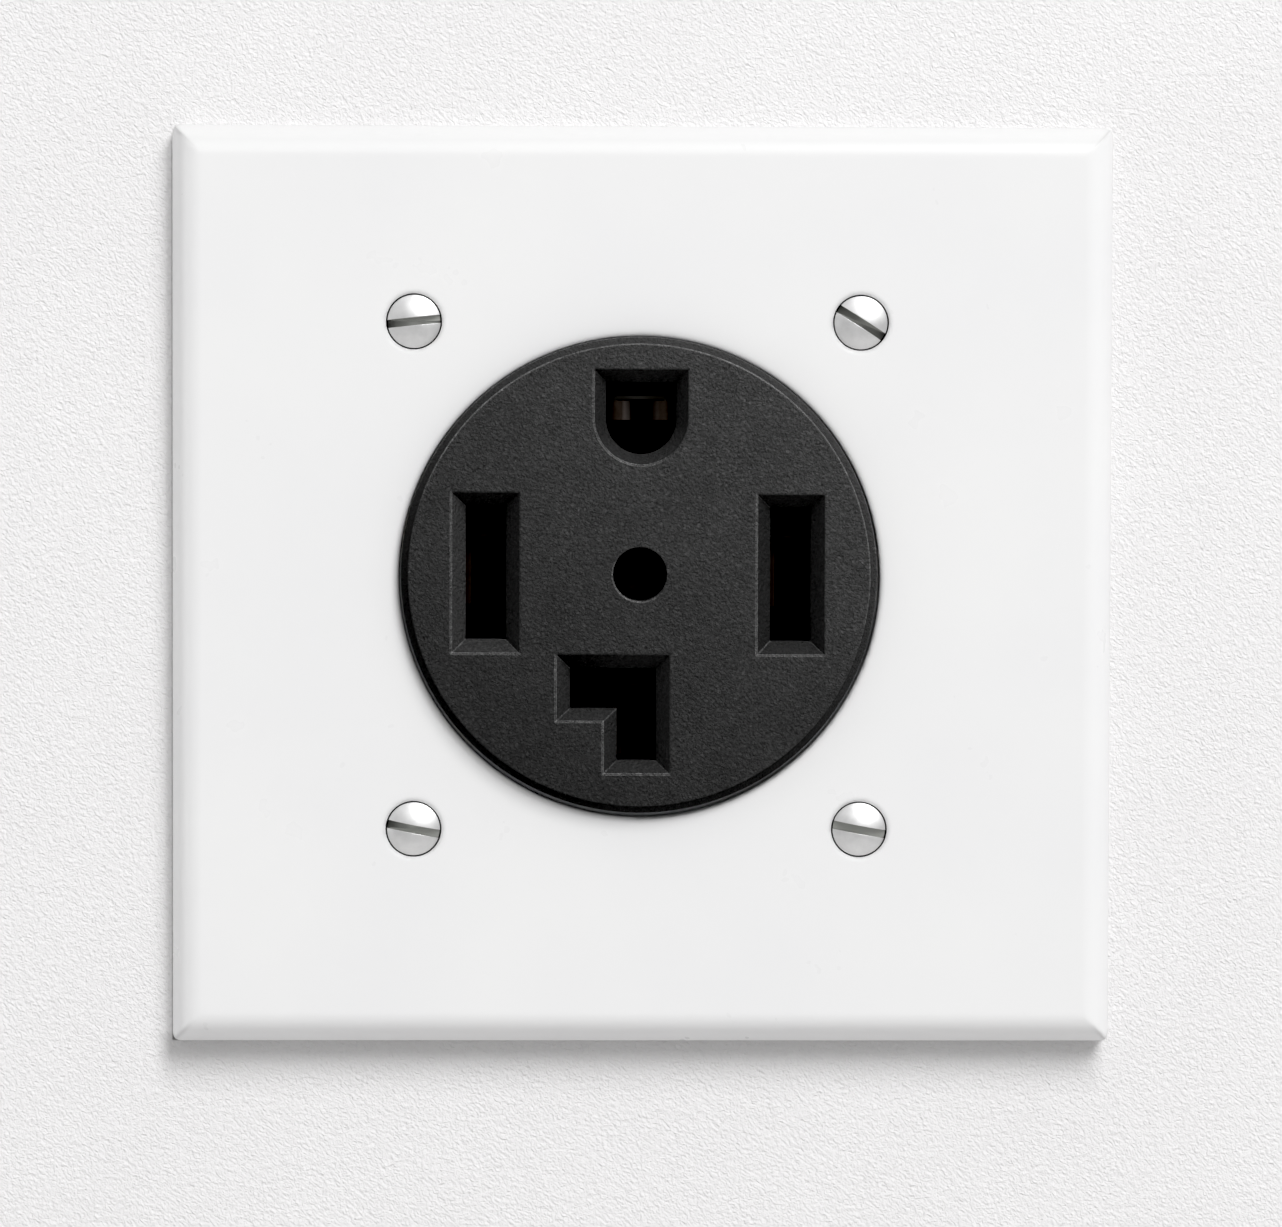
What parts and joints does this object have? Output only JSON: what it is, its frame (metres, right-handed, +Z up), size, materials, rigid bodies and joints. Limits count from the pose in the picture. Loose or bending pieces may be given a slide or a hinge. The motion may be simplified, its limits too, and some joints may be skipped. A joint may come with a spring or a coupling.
{
  "type": "dryer outlet",
  "caption": "Flush dryer outlet: white two-gang wall plate round a black receptacle face with blade slots, an L slot and a ground slot, clamp terminals behind.",
  "frame": {"origin": "on the receptacle's axis, in the plane of the finished wall, where the wall plate's back edge lies", "axes": "+Z up and +X to the right as the outlet is seen on the wall; the face looks along -Y and the body goes into the wall box along +Y"},
  "size_m": [0.1162, 0.0379, 0.1133],
  "materials": {
    "plate_plastic": "smooth white moulded thermoset",
    "bright_screws": "bright nickel plate, slotted oval heads",
    "black_face": "matte black moulded face with a fine grain",
    "black_body": "black moulded body",
    "zinc_steel": "zinc-plated steel",
    "black_oxide": "black-oxide steel",
    "copper_alloy": "rolled copper alloy strip, browned with age",
    "spring_steel": "blued spring steel",
    "lug_metal": "brass box lug",
    "terminal_steel": "plated steel set screw",
    "green_screw": "green-dyed set screw",
    "fibre_washer": "pressed fibre washer"
  },
  "bodies": {
    "root": {"wall_plate": "plate_plastic", "plate_screws": "bright_screws", "face_cover": "black_face", "rear_body": "black_body", "mounting_strap": "zinc_steel", "hot_contact_left": "copper_alloy", "hot_contact_right": "copper_alloy", "neutral_contact": "copper_alloy", "ground_contact": "copper_alloy", "hot_spring_left": "spring_steel", "hot_spring_right": "spring_steel", "neutral_spring": "spring_steel", "ground_spring": "spring_steel", "hot_lug_left": "lug_metal", "hot_lug_right": "lug_metal", "neutral_lug": "lug_metal", "ground_lug": "lug_metal", "hot_terminal_screws": "terminal_steel", "neutral_terminal_screw": "terminal_steel", "ground_terminal_screw": "green_screw", "centre_screw": "black_oxide", "centre_nut": "black_oxide", "assembly_screws": "zinc_steel", "box_screws": "zinc_steel", "screw_retainers": "fibre_washer", "ground_bridge": "copper_alloy", "bridge_rivet": "copper_alloy"}
  },
  "joints": []
}
